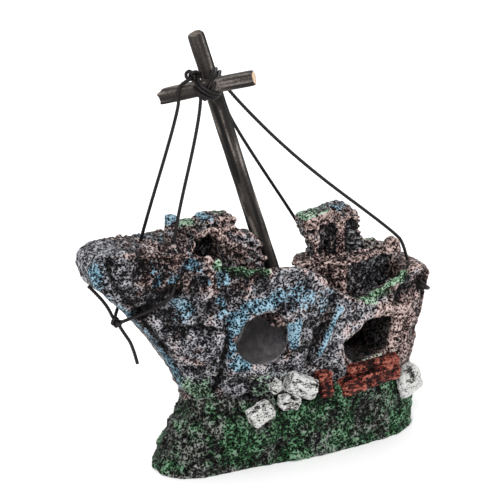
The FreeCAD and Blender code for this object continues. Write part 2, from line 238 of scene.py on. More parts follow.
# ---- shader graph helpers --------------------------------------------------------------
class Graph:
    """A material's nodes, one call per node."""

    def __init__(self, name):
        self.material = bpy.data.materials.new(name)
        self.material.use_nodes = True
        self.nodes = self.material.node_tree.nodes
        self.links = self.material.node_tree.links
        self.shader = self.nodes["Principled BSDF"]
        place = self.nodes.new("ShaderNodeTexCoord")
        self.place = self.math_vector("SCALE", place.outputs["Object"], scale=1 / MM)

    def put(self, value, socket):
        if isinstance(value, bpy.types.NodeSocket):
            self.links.new(value, socket)
        elif value is not None:
            socket.default_value = value

    def math_vector(self, operation, a, b=None, scale=None):
        node = self.nodes.new("ShaderNodeVectorMath")
        node.operation = operation
        self.put(a, node.inputs[0])
        self.put(b, node.inputs[1])
        if scale:
            node.inputs["Scale"].default_value = scale
        return node.outputs["Vector"]

    def math(self, operation, a, b=None, clamp=False):
        node = self.nodes.new("ShaderNodeMath")
        node.operation = operation
        node.use_clamp = clamp
        self.put(a, node.inputs[0])
        self.put(b, node.inputs[1])
        return node.outputs[0]

    def noise(self, size, detail=3.0, roughness=0.6, stretch=None):
        place = self.place
        if stretch:
            place = self.math_vector("MULTIPLY", place, stretch)
        node = self.nodes.new("ShaderNodeTexNoise")
        self.put(place, node.inputs["Vector"])
        node.inputs["Scale"].default_value = 1 / size
        node.inputs["Detail"].default_value = detail
        node.inputs["Roughness"].default_value = roughness
        return node.outputs["Fac"]

    def pits(self, size, place=None):
        node = self.nodes.new("ShaderNodeTexVoronoi")
        self.put(place or self.place, node.inputs["Vector"])
        node.inputs["Scale"].default_value = 1 / size
        return node.outputs["Distance"]

    def mask(self, name):
        node = self.nodes.new("ShaderNodeAttribute")
        node.attribute_name = name
        return node.outputs["Fac"]

    def span(self, value, low, high, to_low=0.0, to_high=1.0):
        node = self.nodes.new("ShaderNodeMapRange")
        node.interpolation_type = "SMOOTHSTEP"
        self.put(value, node.inputs["Value"])
        node.inputs["From Min"].default_value = low
        node.inputs["From Max"].default_value = high
        node.inputs["To Min"].default_value = to_low
        node.inputs["To Max"].default_value = to_high
        return node.outputs["Result"]

    def ramp(self, value, stops):
        node = self.nodes.new("ShaderNodeValToRGB")
        while len(node.color_ramp.elements) < len(stops):
            node.color_ramp.elements.new(0.5)
        for element, (position, colour) in zip(node.color_ramp.elements, stops):
            element.position = position
            element.color = (*colour, 1)
        self.put(value, node.inputs["Fac"])
        return node.outputs["Color"]

    def mix(self, factor, a, b, blend="MIX"):
        node = self.nodes.new("ShaderNodeMix")
        node.data_type = "RGBA"
        node.blend_type = blend
        self.put(factor, node.inputs["Factor"])
        self.put(a if isinstance(a, bpy.types.NodeSocket) else (*a, 1), node.inputs["A"])
        self.put(b if isinstance(b, bpy.types.NodeSocket) else (*b, 1), node.inputs["B"])
        return node.outputs["Result"]

    def bump(self, height, distance, strength=1.0, under=None):
        node = self.nodes.new("ShaderNodeBump")
        node.inputs["Distance"].default_value = distance * MM
        node.inputs["Strength"].default_value = strength
        self.put(height, node.inputs["Height"])
        self.put(under, node.inputs["Normal"])
        return node.outputs["Normal"]

    def finish(self, colour, roughness, normal=None, **constants):
        self.put(colour, self.shader.inputs["Base Color"])
        self.put(roughness, self.shader.inputs["Roughness"])
        self.put(normal, self.shader.inputs["Normal"])
        for name, value in constants.items():
            self.shader.inputs[name.replace("_", " ")].default_value = value
        return self.material


def srgb(red, green, blue):
    """A linear colour from the usual 0 to 255 values."""
    return tuple((v / 255) ** 2.2 for v in (red, green, blue))


# ---- materials ---------------------------------------------------------------------------
# The levels push low heights to near-black: dark wash in the pits together with painted shade in pits and hollows.
LEVELS = (0.27, 0.43, 0.56, 0.72, 0.9)
PAINT_GAIN = 0.84


def tones(colours):
    """Ramp stops for the pits, the slopes and the tops of the relief."""
    return [(level, srgb(*(PAINT_GAIN * v for v in colour))) for level, colour in zip(LEVELS, colours)]


def fine_relief(g, cell, depth):
    """The sculpted height with a fine net of pits and strings over it, from 0 to 1."""
    wander = g.nodes.new("ShaderNodeTexNoise")
    g.put(g.place, wander.inputs["Vector"])
    wander.inputs["Scale"].default_value = 0.8 / cell
    shift = g.math_vector("SUBTRACT", wander.outputs["Color"], (0.5, 0.5, 0.5))
    place = g.math_vector("ADD", g.place, g.math_vector("SCALE", shift, scale=0.9 * cell))
    small = g.span(g.pits(cell, place), 0.2, 0.68)
    large = g.span(g.pits(1.9 * cell, place), 0.12, 0.55)
    fold = g.math("ABSOLUTE", g.math("SUBTRACT", g.noise(2.2 * cell, 2.0, 0.5), 0.5))
    strings = g.span(fold, 0.0, 0.06, 1.0, 0.0)
    grain = g.math("SUBTRACT", g.noise(0.4, 3.0, 0.7), 0.5)
    drift = g.math("SUBTRACT", g.noise(3.2, 2.0, 0.5), 0.5)
    height = g.math("ADD", g.math("MULTIPLY", g.mask("height"), 0.7), g.math("MULTIPLY", small, depth))
    height = g.math("ADD", height, g.math("MULTIPLY", large, 0.55 * depth))
    height = g.math("ADD", height, g.math("MULTIPLY", strings, 0.3 * depth))
    height = g.math("ADD", height, g.math("MULTIPLY", grain, 0.7))
    height = g.math("ADD", height, g.math("MULTIPLY", drift, 0.5))
    return g.math("SUBTRACT", height, 0.98 * depth - 0.08)


def resin_material():
    """Dark pitted resin, dry-brushed grey and dull pink, with thin blue and green paint on it; its pits are
    near-black from dark wash and painted shade.
    """
    g = Graph("painted_resin")
    height = fine_relief(g, 0.74, 0.6)
    patchy = g.noise(2.4, 4.0, 0.65)
    broad = g.noise(6.5, 3.0, 0.6)
    cool = g.ramp(height, tones([(6, 6, 8), (60, 60, 64), (100, 100, 105), (142, 143, 149), (196, 195, 201)]))
    warm = g.ramp(height, tones([(9, 5, 4), (68, 52, 49), (122, 100, 96), (172, 146, 140), (220, 196, 190)]))
    tint = g.math("ADD", g.mask("warm"), g.math("MULTIPLY", g.math("SUBTRACT", broad, 0.5), 1.3))
    tint = g.math("ADD", tint, g.math("MULTIPLY", g.math("SUBTRACT", patchy, 0.5), 1.3))
    colour = g.mix(g.span(tint, 0.25, 0.8), cool, warm)

    def paint_layer(mask, stops, low, high, under):
        edge = g.math("ADD", g.mask(mask), g.math("MULTIPLY", g.math("SUBTRACT", patchy, 0.5), 1.5))
        edge = g.math("ADD", edge, g.math("MULTIPLY", g.math("SUBTRACT", height, 0.5), 0.9))
        cover = g.math("MULTIPLY", g.span(edge, low, high), g.span(g.mask(mask), 0.03, 0.25))
        return g.mix(cover, under, g.ramp(height, tones(stops)))

    colour = paint_layer("blue", [
        (5, 11, 17), (52, 76, 90), (92, 126, 144), (122, 162, 182), (166, 200, 218)], 0.36, 0.8, colour)
    colour = paint_layer("moss", [
        (3, 10, 5), (56, 80, 58), (98, 132, 102), (136, 174, 142), (188, 214, 190)], 0.36, 0.8, colour)
    # Near-black over the dark mask, most in low places: dark wash, and painted shade in grooves, openings and the
    # hold.
    dark_wash_and_shade = g.math("MULTIPLY", g.mask("dark_wash_and_shade"), g.span(height, 0.3, 0.95, 1.0, 0.62))
    colour = g.mix(dark_wash_and_shade, colour, srgb(9, 8, 8))
    bare = g.mix(g.span(patchy, 0.35, 0.7), srgb(116, 113, 115), srgb(156, 152, 154))
    colour = g.mix(g.mask("grey"), colour, bare)
    relief = g.mix(g.mask("grey"), height, srgb(170, 170, 170))
    normal = g.bump(relief, 0.5, 0.9)
    return g.finish(colour, g.span(patchy, 0.2, 0.8, 0.46, 0.68), normal, Specular_IOR_Level=0.1)


def rock_material():
    """Near-black craggy resin, dry-brushed grey, with dark green paint and a few bright flecks; its pits are
    near-black from dark wash and painted shade.
    """
    g = Graph("rock_resin")
    height = fine_relief(g, 0.82, 0.6)
    patchy = g.noise(3.0, 4.0, 0.65)
    broad = g.noise(9.0, 3.0, 0.6)
    stone = g.ramp(height, tones([(2, 3, 2), (28, 30, 28), (56, 58, 55), (90, 92, 88), (146, 148, 143)]))
    green = g.ramp(height, tones([(1, 6, 2), (16, 42, 22), (38, 76, 46), (70, 114, 78), (132, 170, 140)]))
    cover = g.math("ADD", g.mask("moss"), g.math("MULTIPLY", g.math("SUBTRACT", patchy, 0.5), 1.4))
    cover = g.math("ADD", cover, g.math("MULTIPLY", g.math("SUBTRACT", broad, 0.5), 1.3))
    colour = g.mix(g.span(cover, 0.2, 0.62), stone, green)
    bright = g.math("MULTIPLY", g.span(g.noise(1.2, 3.0, 0.6), 0.58, 0.68), g.span(broad, 0.5, 0.62))
    colour = g.mix(g.math("MULTIPLY", bright, g.span(height, 0.4, 0.7)), colour, srgb(34, 96, 48))
    normal = g.bump(height, 0.6, 0.95)
    return g.finish(colour, g.span(patchy, 0.2, 0.8, 0.42, 0.64), normal, Specular_IOR_Level=0.12)


def lump_material(name, stops, roughness):
    """Brush-painted small castings: one paint over the dark resin, worn through in streaks."""
    g = Graph(name)
    grain = g.noise(0.45, 3.0, 0.7)
    brush = g.noise(0.7, 3.0, 0.65, stretch=(0.4, 1, 1.3))
    pits = g.span(g.pits(0.9), 0.08, 0.45)
    height = g.math("ADD", g.mask("height"), g.math("MULTIPLY", g.math("SUBTRACT", grain, 0.5), 1.5))
    height = g.math("ADD", height, g.math("MULTIPLY", g.math("SUBTRACT", brush, 0.5), 2.4))
    height = g.math("ADD", height, g.math("MULTIPLY", g.math("SUBTRACT", pits, 0.8), 0.5))
    colour = g.ramp(height, stops)
    normal = g.bump(height, 0.45, 0.95)
    return g.finish(colour, g.span(brush, 0.2, 0.8, roughness, roughness + 0.2), normal, Specular_IOR_Level=0.15)


def wood_material():
    """A dark stained twig: grain along the stick, worn pale on its edges, pale at the cut end."""
    g = Graph("spar_wood")
    along = g.mask("along")
    grain = g.noise(0.5, 4.0, 0.7)
    fibre = g.mask("fibre")
    wear = g.math("ADD", g.math("MULTIPLY", fibre, 0.9), g.math("MULTIPLY", grain, 0.6))
    bark = g.ramp(g.math("MULTIPLY", wear, 0.75), [
        (0.2, srgb(8, 7, 7)), (0.42, srgb(26, 23, 22)), (0.6, srgb(52, 48, 46)),
        (0.8, srgb(122, 114, 108))])
    cut = g.ramp(grain, [(0.25, srgb(150, 118, 92)), (0.7, srgb(226, 200, 172))])
    colour = g.mix(along, bark, cut)
    normal = g.bump(wear, 0.22, 0.8)
    return g.finish(colour, 0.68, normal, Specular_IOR_Level=0.2)


def cord_material():
    """Black waxed cord: a dull sheen and fine fibres."""
    g = Graph("waxed_cord")
    fibre = g.noise(0.16, 3.0, 0.7)
    colour = g.ramp(fibre, [(0.3, srgb(9, 7, 7)), (0.58, srgb(24, 20, 20)), (0.85, srgb(80, 72, 72))])
    normal = g.bump(fibre, 0.05, 0.6)
    return g.finish(colour, g.span(fibre, 0.3, 0.7, 0.4, 0.62), normal, Specular_IOR_Level=0.2)


def plastic_material():
    """Moulded airline plastic, slightly milky."""
    g = Graph("air_fitting")
    haze = g.noise(1.4, 3.0, 0.6)
    colour = g.ramp(haze, [(0.3, srgb(196, 202, 200)), (0.7, srgb(226, 230, 228))])
    normal = g.bump(haze, 0.03, 0.5)
    return g.finish(colour, g.span(haze, 0.3, 0.7, 0.22, 0.34), normal)


painted_resin = resin_material()
rock_resin = rock_material()
white_resin = lump_material("white_resin", [
    (0.3, srgb(8, 8, 8)), (0.46, srgb(52, 51, 49)), (0.62, srgb(136, 135, 132)),
    (0.88, srgb(204, 204, 202))], 0.45)
red_resin = lump_material("red_resin", [
    (0.34, srgb(7, 3, 3)), (0.5, srgb(46, 13, 10)), (0.7, srgb(96, 34, 26)),
    (1.0, srgb(160, 96, 82))], 0.34)
air_stone = lump_material("air_stone", [
    (0.2, srgb(50, 66, 92)), (0.5, srgb(104, 128, 162)), (0.9, srgb(166, 186, 210))], 0.75)
spar_wood = wood_material()
waxed_cord = cord_material()
air_fitting = plastic_material()


# ---- sculpted shapes ---------------------------------------------------------------------
def pitted(p, lump_size, pit_size, pit_depth, roughness, seed):
    """Lumps, scattered round pits and fine roughness: millimetres outwards, and a height from 0 to 1."""
    lumps = layered(p, lump_size, seed, 3)
    near, second, tag = cells(p, pit_size, seed + 40)
    pit = (1 - smooth(0.1, 0.52, near)) * (tag > 0.3)
    rough = layered(p, 1.5, seed + 60, 2)
    offset = roughness * (0.9 * lumps + 0.55 * rough) - pit_depth * pit
    # Pits get a low height, which the colour ramps turn dark: dark wash and painted shade together.
    height = 0.5 + 0.2 * lumps + 0.3 * rough - 0.55 * pit
    return offset, height


# Lines on the near side, in millimetres: each is a hand-carved groove in the casting.
stem_crease = [(-57.0, -7.2, 80.6), (-56.4, -8.4, 76.0), (-53.0, -7.4, 69.0), (-46.4, -6.4, 59.5),
               (-37.6, -6.0, 46.0), (-30.4, -6.2, 33.4)]
cord_groove = [(-34.6, -12.6, 66.2), (-38.0, -12.2, 66.4), (-42.4, -9.6, 61.6), (-48.4, -4.0, 57.2)]
upper_plank = [(-38.2, -9.4, 52.8), (-30.0, -12.2, 53.6), (-23.0, -14.2, 52.9), (-17.6, -15.6, 50.4)]
plank_seam = [(-17.6, -15.6, 50.6), (-18.4, -14.8, 46.0), (-19.0, -14.2, 41.0), (-19.6, -13.4, 35.0),
              (-20.4, -12.4, 28.0)]
deep_score = [(19.4, -20.0, 57.4), (17.8, -19.9, 52.6), (15.2, -19.4, 46.6), (12.4, -18.6, 39.2),
              (10.8, -17.8, 34.4)]
score_edge = [(21.2, -20.0, 53.6), (19.4, -19.8, 50.0), (16.9, -19.4, 43.8), (14.4, -18.6, 37.4)]
stern_slot = [(45.6, -17.6, 50.9), (47.8, -17.2, 54.7)]
window_lip = [(22.4, -19.4, 42.6), (29.6, -19.4, 47.0), (36.0, -19.0, 49.4), (47.6, -17.6, 48.8)]
window_post = [(48.4, -17.0, 47.0), (47.4, -16.6, 40.0), (45.6, -15.8, 33.6)]
stern_hollow = [(56.0, -15.4, 55.6), (58.4, -14.6, 52.6), (59.6, -13.8, 49.6)]
panel_edge = [(20.8, -20.2, 57.2), (23.6, -20.0, 50.0), (23.0, -19.6, 44.0), (21.8, -18.8, 37.0)]


def near_side(p):
    return 1 - smooth(-6.0, -1.5, p[:, 1])


def near_face(p, n):
    """1 on the hull's outer near side, where lines are placed by x and z alone."""
    return near_side(p) * (1 - smooth(-0.3, 0.1, n[:, 1]))


def side_view(points):
    return np.array(points) * np.array([1.0, 0.0, 1.0])


# The hull's raked stations: x low and high, half beam low and high, from z 20 to z 92.
stations = [
    (-25.5, -78.0, 1.5, 5.0), (-22.5, -64.0, 4.2, 8.6), (-17.0, -54.0, 9.0, 11.0),
    (-9.0, -42.0, 13.0, 14.0), (2.0, -24.0, 15.5, 18.0), (16.0, 0.0, 17.0, 21.3),
    (28.0, 24.0, 17.5, 21.6), (40.0, 42.0, 16.5, 19.6), (50.0, 54.0, 14.5, 17.0),
    (57.0, 66.0, 11.5, 14.0)]


def inside_hull(p):
    """1 on the faces of the hold: below the decks and well inside the hull's skin."""
    t = np.clip((p[:, 2] - 20.0) / 72.0, 0, 1)
    places = [low + (high - low) * t for low, high, _, _ in stations]
    halves = [low + (high - low) * (0.55 + 0.9 * (t - 0.5)) for _, _, low, high in stations]
    half = np.zeros(len(p))
    for x_a, x_b, half_a, half_b in zip(places, places[1:], halves, halves[1:]):
        share = (p[:, 0] - x_a) / (x_b - x_a)
        half = np.where((share >= 0) & (share <= 1), half_a + (half_b - half_a) * share, half)
    deep = smooth(1.6, 2.6, half - np.abs(p[:, 1]))
    stem_wall = smooth(3.0, 5.0, p[:, 0] - (places[1] + 6.0))
    return deep * stem_wall * (1 - smooth(53.0, 56.0, p[:, 0])) * (p[:, 2] < 62.5) * (p[:, 2] > 23.0)


def ragged_inside(p):
    """1 on the upper part of the hold's faces, which is left rough."""
    return smooth(44.0, 50.0, p[:, 2] + 2.5 * noise(p, 5.0, 19) + 0.35 * (p[:, 0] + 5.0))


def hull_shape(p, n):
    offset, height = pitted(p, 7.5, 2.0, 0.42, 0.5, 3)
    side = near_side(p)
    face = near_face(p, n)
    # The fore hull's upper part is coarser: knobs and hollows about three millimetres across, the pits between the
    # knobs darkened with dark wash and painted shade.
    coarse = smooth(60.0, 68.0, p[:, 2]) * (1 - smooth(-12.0, 2.0, p[:, 0])) * smooth(-56, -46, p[:, 0])
    near, second, tag = cells(p, 3.3, 91)
    knobs = smooth(0.0, 0.55, second - near)
    offset += coarse * (0.95 * (knobs - 0.5) - 1.2 * (1 - smooth(0.1, 0.5, near)) * (tag > 0.62))
    height += coarse * (0.5 * (knobs - 0.7) - 0.7 * (1 - smooth(0.1, 0.5, near)) * (tag > 0.62))
    # Broad hollows between the knobs all over the near side, cut in and darkened as painted shade.
    hollow = 1 - smooth(-0.5, -0.12, layered(p, 4.6, 97, 2))
    offset -= 0.9 * hollow * side
    height -= 0.42 * hollow * side
    # Weathered ridges along the planks.
    ridges = noise(p * np.array([0.22, 0.6, 1.0]), 1.7, 33)
    offset += 0.22 * ridges
    height += 0.14 * ridges
    nose = 1 - smooth(-58.0, -50.0, p[:, 0])
    offset += 0.5 * nose * layered(p, 4.0, 71, 2)
    # Knobs at the foot of the pillar.
    offset += 2.4 * blob(p, (-32.5, -6.0, 79.4), (5.0, 4.6, 5.0)) * smooth(0.2, 0.7, n[:, 2])
    offset += 1.2 * blob(p, (-36.6, -3.0, 79.6), (3.6, 4.0, 4.0)) * smooth(0.2, 0.7, n[:, 2])

    def groove(points, width, depth, dark=0.5):
        distance, _ = distance_to_line(side_view(p), side_view(points))
        wavy = width * (1 + 0.25 * noise(p, 2.4, 12))
        cut = np.exp(-(distance / wavy) ** 2)
        return -depth * cut, -dark * cut

    def ridge(points, width, rise, light=0.3):
        distance, _ = distance_to_line(side_view(p), side_view(points))
        bank = np.exp(-(distance / (width * (1 + 0.2 * noise(p, 2.1, 14)))) ** 2)
        return rise * bank, light * bank

    # Grooves are cut in and their height lowered, which paints shade into them; ridges are raised and lightened as
    # dry-brushed paint.
    for points, width, depth in (
            (stem_crease, 1.1, 1.0), (cord_groove, 1.9, 1.9), (upper_plank, 0.9, 0.9),
            (plank_seam, 1.0, 1.3), (deep_score, 1.8, 2.0), (stern_slot, 1.9, 1.9), (stern_hollow, 1.9, 1.3)):
        change, tone = groove(points, width, depth, 0.35)
        offset += change * face
        height += tone * face
    for points, width, rise in (
            (score_edge, 1.0, 0.9), (window_lip, 1.7, 1.2), (window_post, 2.0, 0.9), (panel_edge, 1.1, 0.7),
            ([(x, y - 0.2, z - 2.6) for x, y, z in cord_groove[:3]], 1.4, 0.3)):
        change, tone = ridge(points, width, rise)
        offset += change * face
        height += tone * face
    # Stacked ribs down the post aft of the window.
    post = line_band(p, window_post, 4.2) * side
    ribs = np.sin(p[:, 2] * 2.0 * math.pi / 2.1 + 1.2 * noise(p, 3.0, 51))
    offset += 0.45 * post * ribs
    height += 0.22 * post * ribs
    # Below the porthole the casting turns into the rock it stands on.
    low = (1 - smooth(27.0, 35.0, p[:, 2])) * (1 - 0.5 * smooth(0.0, 14.0, p[:, 0]))
    crag = 1 - np.abs(layered(p * np.array([1.0, 1.0, 0.7]), 5.0, 131, 3))
    offset += low * 1.5 * (crag ** 3 - 0.35)
    height += low * 0.25 * (crag ** 3 - 0.5)
    # Bulging panels between the seams.
    for centre, radii, rise in (
            ((-29.0, -13.0, 45.0), (11.0, 8.0, 8.5), 0.9), ((4.5, -19.0, 46.0), (8.0, 8.0, 15.0), 0.8),
            ((-40.0, -9.5, 72.5), (9.0, 8.0, 6.5), 0.9), ((-47.0, -8.0, 68.0), (6.5, 6.0, 6.5), 0.6)):
        offset += rise * blob(p, centre, radii) * side
    rim = np.linalg.norm((p[:, [0, 2]] - np.array([-5.0, 46.4])), axis=1)
    lip = np.exp(-((rim - 11.6) / 1.3) ** 2) * side * (p[:, 1] < -12)
    offset += 0.7 * lip
    height += 0.12 * lip
    calm = inside_hull(p) * (1 - ragged_inside(p))
    return offset * (1 - 0.8 * calm), 0.5 + (height - 0.5) * (1 - 0.5 * calm)


def hull_paint(p, n):
    side = near_side(p)
    face = near_face(p, n)
    warped = p + 1.6 * np.stack([noise(p, 3.0, 81 + k) for k in range(3)], axis=1)
    blue = np.zeros(len(p))
    for centre, radii, strength in (
            ((-43.0, -10.5, 77.5), (2.6, 6, 3.6), 0.5), ((-41.5, -11.0, 71.5), (1.6, 6, 4.0), 0.75),
            ((-36.8, -12.5, 72.0), (3.0, 6, 3.4), 0.6), ((-30.4, -14.0, 76.2), (3.8, 6, 3.2), 0.85),
            ((-26.8, -15.0, 71.2), (2.6, 6, 3.2), 0.75), ((-20.0, -16.5, 70.6), (2.8, 6, 4.2), 0.8),
            ((-33.0, -12.0, 60.6), (4.6, 6, 6.4), 0.6), ((-20.6, -15.5, 60.5), (2.2, 6, 5.0), 0.7),
            ((-15.4, -16.0, 54.6), (4.8, 6, 5.0), 0.95), ((-16.8, -15.5, 46.2), (1.9, 6, 6.0), 0.95),
            ((-13.2, -15.5, 38.8), (5.0, 6, 2.4), 0.9), ((-9.4, -17.6, 59.4), (5.6, 6, 3.0), 0.9),
            ((-3.6, -18.6, 61.6), (6.0, 6, 3.2), 0.75), ((5.8, -19.0, 47.4), (1.8, 6, 8.0), 0.8),
            ((5.0, -19.4, 61.0), (9.0, 6, 5.4), 0.5), ((17.0, -19.6, 57.6), (6.0, 6, 6.0), 0.42),
            ((-60.8, -4.0, 75.0), (3.4, 12, 6.0), 0.7), ((-44.0, -14.0, 60.0), (5, 6, 5), 0.4)):
        blue = np.maximum(blue, strength * blob(warped, centre, np.array(radii) * 1.25))
    blue = np.maximum(blue, 0.85 * line_band(p, score_edge, 1.3))
    strip = line_band(p, [(-58.0, -3.5, 72.0), (-47.6, -3.0, 57.0), (-38.6, -3.0, 45.6), (-30.0, -3.0, 31.0)], 4.0)
    blue = np.maximum(blue * side, strip * (0.62 + 0.3 * noise(p, 6.0, 5)) * (p[:, 1] > -7.5))
    far = 1 - side
    blue = np.maximum(blue, far * 0.55 * smooth(0.15, 0.7, layered(p, 11.0, 201, 2)))

    moss = line_band(warped, [(-22.5, -15.6, 75.6), (-15.0, -16.4, 73.0), (-6.0, -17.4, 71.2)], 3.4)
    moss = np.maximum(moss, line_band(warped, [(30.0, -17.6, 54.4), (38.0, -17.6, 56.0), (49.0, -16.0, 59.8)], 3.6))
    moss = np.maximum(moss, 0.8 * line_band(warped, [(-18.0, 17.0, 74.0), (0.0, 18.6, 71.0)], 3.0))
    moss = np.maximum(moss, 0.8 * line_band(warped, [(36.0, 17.4, 56.6), (50.0, 15.6, 60.4)], 3.0))
    low = (1 - smooth(27.0, 38.0, p[:, 2])) * (1 - 0.6 * smooth(-12.0, 4.0, p[:, 0]))
    moss = np.maximum(moss, low * 0.85 * smooth(-0.35, 0.3, layered(p, 6.0, 301, 2)))

    warm = 0.28 + 0.36 * smooth(26.0, 46.0, p[:, 0]) + 0.1 * layered(p, 14.0, 401, 2)
    warm += 0.3 * smooth(62.0, 70.0, p[:, 2]) * (p[:, 0] < -4) * smooth(-54.0, -44.0, p[:, 0])
    warm -= 0.3 * (1 - smooth(-56.0, -48.0, p[:, 0]))
    warm += 0.4 * line_band(p, window_post, 6.0) + 0.2 * line_band(p, window_lip, 3.0)
    dark_wash_and_shade = 0.66 * low * (1 - 0.35 * smooth(-0.3, 0.4, noise(p, 6.0, 14)))
    dark_wash_and_shade = np.maximum(dark_wash_and_shade, 0.3 * blob(p, (-50.0, -9.5, 71.0), (11.0, 7.0, 11.0)) * side)
    dark_wash_and_shade = np.maximum(dark_wash_and_shade, 0.3 * blob(p, (-36.0, -11.0, 68.0), (14.0, 7.0, 11.0)) * side)
    dark_wash_and_shade = np.maximum(dark_wash_and_shade, 0.3 * blob(p, (9.6, -19.0, 44.0), (6.0, 7.0, 15.0)) * side)
    # Painted shade: the grooves, the stern slot and the stern hollow are painted near-black along their lines.
    for points, width, dark in (
            (cord_groove, 2.6, 0.85), (plank_seam, 1.3, 0.8), (upper_plank, 1.1, 0.6), (deep_score, 2.5, 0.55),
            (stem_crease, 1.4, 0.75), (stern_slot, 2.7, 1.0), (stern_hollow, 3.0, 0.95)):
        dark_wash_and_shade = np.maximum(dark_wash_and_shade, dark * line_band(side_view(p), side_view(points), width) * face)
    # The round recess is painted dark.
    recess = np.linalg.norm(p[:, [0, 2]] - np.array([-26.8, 59.6]), axis=1)
    in_recess = (1 - smooth(3.0, 4.4, recess)) * side * smooth(-0.4, 0.3, p[:, 1] + 14.9)
    dark_wash_and_shade = np.maximum(dark_wash_and_shade, 0.6 * in_recess)
    # Painted shade inside the hull: the aft hold is painted near-black and the rough upper faces of the hold dark,
    # while the rest of the hold keeps its bare grey.
    inner = inside_hull(p)
    aft_hold = smooth(14.0, 24.0, p[:, 0])
    ragged = ragged_inside(p)
    dark_wash_and_shade = np.maximum(dark_wash_and_shade * (1 - inner), inner * np.maximum(aft_hold, 0.55 * ragged))
    grey = inner * (1 - aft_hold) * (1 - ragged)
    return {"blue": blue * (1 - inner), "moss": moss * (1 - inner), "warm": warm, "dark_wash_and_shade": dark_wash_and_shade, "grey": grey}


def rock_shape(p, n):
    offset, height = pitted(p, 7.0, 2.2, 0.6, 0.7, 23)
    crag = 1 - np.abs(layered(p * np.array([1.0, 1.0, 0.7]), 5.0, 131, 3))
    strings = 1 - np.abs(noise(p + 0.8 * noise(p, 2.0, 7)[:, None], 2.1, 133))
    folds = 1 - np.abs(layered(p * np.array([1.0, 1.0, 0.5]), 9.0, 141, 2))
    offset += 1.2 * (crag ** 3 - 0.5) + 0.45 * (strings ** 4 - 0.4) + 1.9 * (folds ** 5 - 0.55)
    height += 0.2 * (crag ** 3 - 0.5) + 0.22 * (strings ** 4 - 0.4) + 0.34 * (folds ** 5 - 0.5)
    flat = smooth(0.7, 0.9, -n[:, 2]) * (p[:, 2] < 2)
    edge = smooth(0.0, 2.0, p[:, 2])
    return offset * (1 - flat) * (0.35 + 0.65 * edge), height


def rock_paint(p, n):
    moss = 0.48 + 0.45 * layered(p, 8.0, 151, 2)
    stern = smooth(48.0, 57.0, p[:, 0])
    bow = 1 - smooth(-37.0, -29.0, p[:, 0])
    moss = moss + 0.25 * stern - 0.2 * bow
    return {"moss": moss, "warm": np.full(len(p), 0.3)}


def coarse_shape(seed, depth=0.55, ribs=None):
    """The superstructure's look: knobs, pits and, with ribs, slanting ridges on the near face."""
    def shape(p, n):
        offset, height = pitted(p, 4.5, 1.7, depth, 0.6, seed)
        near, second, tag = cells(p, 3.0, seed + 7)
        knobs = smooth(0.0, 0.55, second - near)
        offset += 0.5 * (knobs - 0.55)
        height += 0.34 * (knobs - 0.7)
        if ribs:
            across, pitch, start = ribs
            wave = np.sin(p @ np.array(across) * 2 * math.pi / pitch + 1.4 * noise(p, 4.0, seed + 9))
            here = smooth(start, start + 3, p[:, 0])
            offset += 0.5 * wave * here
            height += 0.22 * wave * here
        return offset, height
    return shape


def plain_shape(seed, roughness=0.35):
    def shape(p, n):
        return pitted(p, 4.0, 1.6, 0.3, roughness, seed)
    return shape


def fore_cabin_paint(p, n):
    # Painted shade: the cave is painted near-black inside, and a painted shadow falls in a dark band below and
    # right of it.
    cave = blob(p, (-22.2, -6.0, 77.0), (7.8, 14.0, 9.6))
    inside = cave * smooth(-8.9, -7.6, p[:, 1])
    shade = line_band(p, [(-17.4, -9.4, 78.0), (-13.4, -9.6, 75.0), (-9.0, -9.6, 71.0)], 4.4)
    dark_wash_and_shade = np.maximum(inside, 0.85 * shade)
    dark_wash_and_shade = np.maximum(dark_wash_and_shade, 0.4 * blob(p, (-24.0, -9.0, 83.0), (5.0, 8.0, 5.0)))
    blue = 0.7 * blob(p, (-19.8, -2.0, 87.4), (4.0, 6.0, 2.6))
    moss = np.maximum(0.7 * blob(p, (-13.5, 0.0, 87.4), (3.6, 5.0, 1.6)),
                      0.5 * blob(p, (-3.0, 0.0, 77.0), (4.0, 8.0, 2.4)))
    warm = 0.5 + 0.5 * line_band(p, [(-20.4, -9.2, 84.4), (-17.0, -9.2, 80.0), (-10.0, -9.2, 74.0)], 3.0)
    return {"dark_wash_and_shade": dark_wash_and_shade, "blue": blue, "moss": moss, "warm": warm}


def fore_wall_paint(p, n):
    top = smooth(84.8, 86.0, p[:, 2])
    # The wall below its top is darkened as painted shade.
    return {"moss": 0.75 * top, "warm": np.full(len(p), 0.5), "dark_wash_and_shade": 0.55 * (1 - top)}


def pillar_paint(p, n):
    top = smooth(85.6, 87.6, p[:, 2])
    return {"blue": 0.6 * top, "warm": np.full(len(p), 0.4), "dark_wash_and_shade": 0.4 * (1 - top)}


def aft_cabin_paint(p, n):
    dark = smooth(28.6, 30.2, p[:, 0]) * (p[:, 1] < 0)
    post = blob(p, (28.2, -11.0, 60.0), (2.4, 3.0, 14.0))
    low = 1 - smooth(54.0, 62.0, p[:, 2])
    dark_wash_and_shade = np.maximum(0.8 * dark, 0.35 + 0.25 * low) * (1 - post)
    return {"dark_wash_and_shade": dark_wash_and_shade, "warm": 0.85 - 0.6 * dark + post}


def roof_paint(p, n):
    up = smooth(0.4, 0.9, n[:, 2])
    edge_light = 0.6 * (1 - up)
    return {"warm": 0.65 + edge_light, "dark_wash_and_shade": 0.55 * up, "moss": 0.4 * up * smooth(-2.0, 1.0, p[:, 1])}


